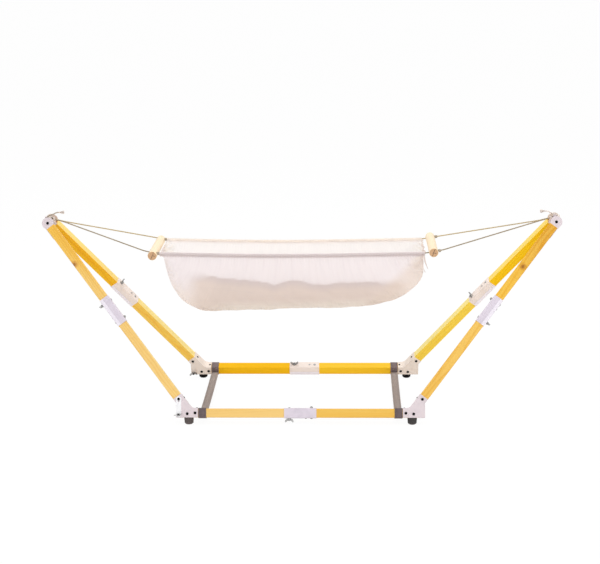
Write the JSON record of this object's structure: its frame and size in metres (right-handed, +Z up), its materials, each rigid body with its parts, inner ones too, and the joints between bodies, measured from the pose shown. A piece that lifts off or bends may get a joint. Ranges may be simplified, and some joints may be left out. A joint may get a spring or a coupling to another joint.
{
  "type": "hammock cradle",
  "caption": "Free-standing baby hammock cradle: leaning wooden frames with white corner brackets carry a cloth hammock on ropes with spreader bars; it sways and the stand folds.",
  "frame": {"origin": "on the floor under the middle of the stand", "axes": "+X along the cradle to its right end, the front is at -Y, +Z up"},
  "size_m": [2.049, 0.6488, 0.7851],
  "materials": {
    "pale_wood": "planed softwood, clear lacquer",
    "white_paint": "white powder coat on folded sheet",
    "black_rubber": "matt",
    "black_steel": "black oxide",
    "zinc": "zinc plated",
    "grey_webbing": "woven webbing",
    "rope": "laid cord",
    "cotton": "thin natural cotton",
    "mattress_cover": "quilted cotton cover"
  },
  "bodies": {
    "front_frame": {"front_rail_left": "pale_wood", "front_rail_right": "pale_wood", "front_left_leg_lower": "pale_wood", "front_left_leg_upper": "pale_wood", "front_right_leg_lower": "pale_wood", "front_right_leg_upper": "pale_wood", "front_rail_coupling": "white_paint", "front_left_leg_coupling": "white_paint", "front_right_leg_coupling": "white_paint", "front_left_corner_bracket": "white_paint", "front_right_corner_bracket": "white_paint", "front_left_peak_cap": "white_paint", "front_right_peak_cap": "white_paint", "front_lock_link": "white_paint", "front_left_foot": "black_rubber", "front_right_foot": "black_rubber", "front_black_fasteners": "black_steel", "front_zinc_fasteners": "zinc", "front_strap_loops": "grey_webbing", "hinge_pins": "zinc", "left_peak_lashing": "rope", "right_peak_lashing": "rope", "left_strap_span": "grey_webbing", "right_strap_span": "grey_webbing"},
    "back_frame": {"back_rail_left": "pale_wood", "back_rail_right": "pale_wood", "back_left_leg_lower": "pale_wood", "back_left_leg_upper": "pale_wood", "back_right_leg_lower": "pale_wood", "back_right_leg_upper": "pale_wood", "back_rail_coupling": "white_paint", "back_left_leg_coupling": "white_paint", "back_right_leg_coupling": "white_paint", "back_left_corner_bracket": "white_paint", "back_right_corner_bracket": "white_paint", "back_left_peak_cap": "white_paint", "back_right_peak_cap": "white_paint", "back_lock_link": "white_paint", "back_left_foot": "black_rubber", "back_right_foot": "black_rubber", "back_black_fasteners": "black_steel", "back_zinc_fasteners": "zinc", "back_strap_loops": "grey_webbing"},
    "hammock": {"hammock_cloth": "cotton", "mattress": "mattress_cover", "left_spreader_dowel": "pale_wood", "right_spreader_dowel": "pale_wood", "front_rope": "rope", "back_rope": "rope"},
    "front_rail_wing_nut": {"front_rail_wing_nut": "zinc"},
    "front_left_leg_wing_nut": {"front_left_leg_wing_nut": "zinc"},
    "front_left_lock_wing_nut": {"front_left_lock_wing_nut": "zinc"},
    "front_right_leg_wing_nut": {"front_right_leg_wing_nut": "zinc"},
    "back_rail_wing_nut": {"back_rail_wing_nut": "zinc"},
    "back_left_leg_wing_nut": {"back_left_leg_wing_nut": "zinc"},
    "back_left_lock_wing_nut": {"back_left_lock_wing_nut": "zinc"},
    "back_right_leg_wing_nut": {"back_right_leg_wing_nut": "zinc"}
  },
  "joints": [
    {"name": "frame_spread", "type": "hinge", "parent": "front_frame", "child": "back_frame", "pos_m": [0, 0, 0.75751], "axis": [1, 0, 0], "range_deg": [-38, 0], "deforming": ["left_strap_span", "right_strap_span"]},
    {"name": "hammock_sway", "type": "hinge", "parent": "front_frame", "child": "hammock", "pos_m": [0, 0, 0.75751], "axis": [1, 0, 0], "range_deg": [-25, 25]},
    {"name": "front_rail_wing_nut_turn", "type": "hinge", "parent": "front_frame", "child": "front_rail_wing_nut", "pos_m": [-0.043, -0.29799, 0.02137], "axis": [0, -0.3512, -0.9363], "continuous": true},
    {"name": "front_left_leg_wing_nut_turn", "type": "hinge", "parent": "front_frame", "child": "front_left_leg_wing_nut", "pos_m": [-0.77634, -0.14347, 0.43334], "axis": [-0.7953, -0.2129, -0.5676], "continuous": true},
    {"name": "front_left_lock_wing_nut_turn", "type": "hinge", "parent": "front_frame", "child": "front_left_lock_wing_nut", "pos_m": [-0.472, -0.31443, 0.04131], "axis": [0, -0.9363, 0.3512], "continuous": true},
    {"name": "front_right_leg_wing_nut_turn", "type": "hinge", "parent": "front_frame", "child": "front_right_leg_wing_nut", "pos_m": [0.7242, -0.16749, 0.36931], "axis": [0.7953, -0.2129, -0.5676], "continuous": true},
    {"name": "back_rail_wing_nut_turn", "type": "hinge", "parent": "back_frame", "child": "back_rail_wing_nut", "pos_m": [-0.043, 0.28401, 0.05863], "axis": [0, -0.3512, 0.9363], "continuous": true},
    {"name": "back_left_leg_wing_nut_turn", "type": "hinge", "parent": "back_frame", "child": "back_left_leg_wing_nut", "pos_m": [-0.74469, 0.135, 0.45594], "axis": [0.7953, -0.2129, 0.5676], "continuous": true},
    {"name": "back_left_lock_wing_nut_turn", "type": "hinge", "parent": "back_frame", "child": "back_left_lock_wing_nut", "pos_m": [-0.472, 0.27248, 0.02558], "axis": [0, -0.9363, -0.3512], "continuous": true},
    {"name": "back_right_leg_wing_nut_turn", "type": "hinge", "parent": "back_frame", "child": "back_right_leg_wing_nut", "pos_m": [0.69255, 0.15902, 0.3919], "axis": [-0.7953, -0.2129, 0.5676], "continuous": true}
  ]
}
